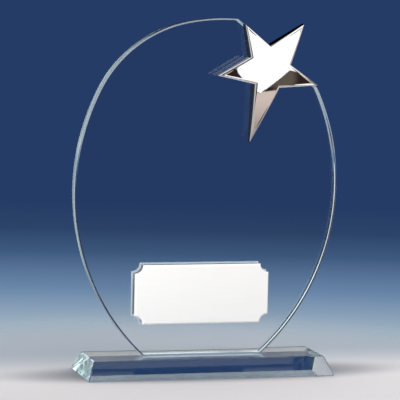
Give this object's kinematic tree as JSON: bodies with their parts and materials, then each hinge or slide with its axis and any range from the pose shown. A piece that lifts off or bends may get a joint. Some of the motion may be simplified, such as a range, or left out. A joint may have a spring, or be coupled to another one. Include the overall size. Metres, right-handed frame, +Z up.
{
  "type": "star trophy",
  "caption": "Desk award: an oval clear glass pane on a bevelled glass base, with a domed chrome star over its cut corner and a blank engraving plate.",
  "frame": {"origin": "middle of the base's underside, under the middle of the pane's thickness", "axes": "+Z up; the front, with the star and the plate, faces -Y; +X is to the viewer's right, where the star is"},
  "size_m": [0.1528, 0.0474, 0.2008],
  "materials": {
    "clear_glass": "polished faces with a faint green tint in the thickness, ground and polished bevels",
    "clear_adhesive": "clear cured film",
    "chrome_plate": "bright mirror plating over a smooth casting",
    "mounting_tape": "pale grey double-sided tape",
    "satin_aluminium": "fine satin face with a bright bevelled rim"
  },
  "bodies": {
    "root": {"glass_base": "clear_glass", "glass_pane": "clear_glass", "pane_bond": "clear_adhesive", "star": "chrome_plate", "star_bond": "mounting_tape", "engraving_plate": "satin_aluminium", "plate_adhesive": "mounting_tape", "backing_plate": "satin_aluminium", "backing_adhesive": "mounting_tape"}
  },
  "joints": []
}
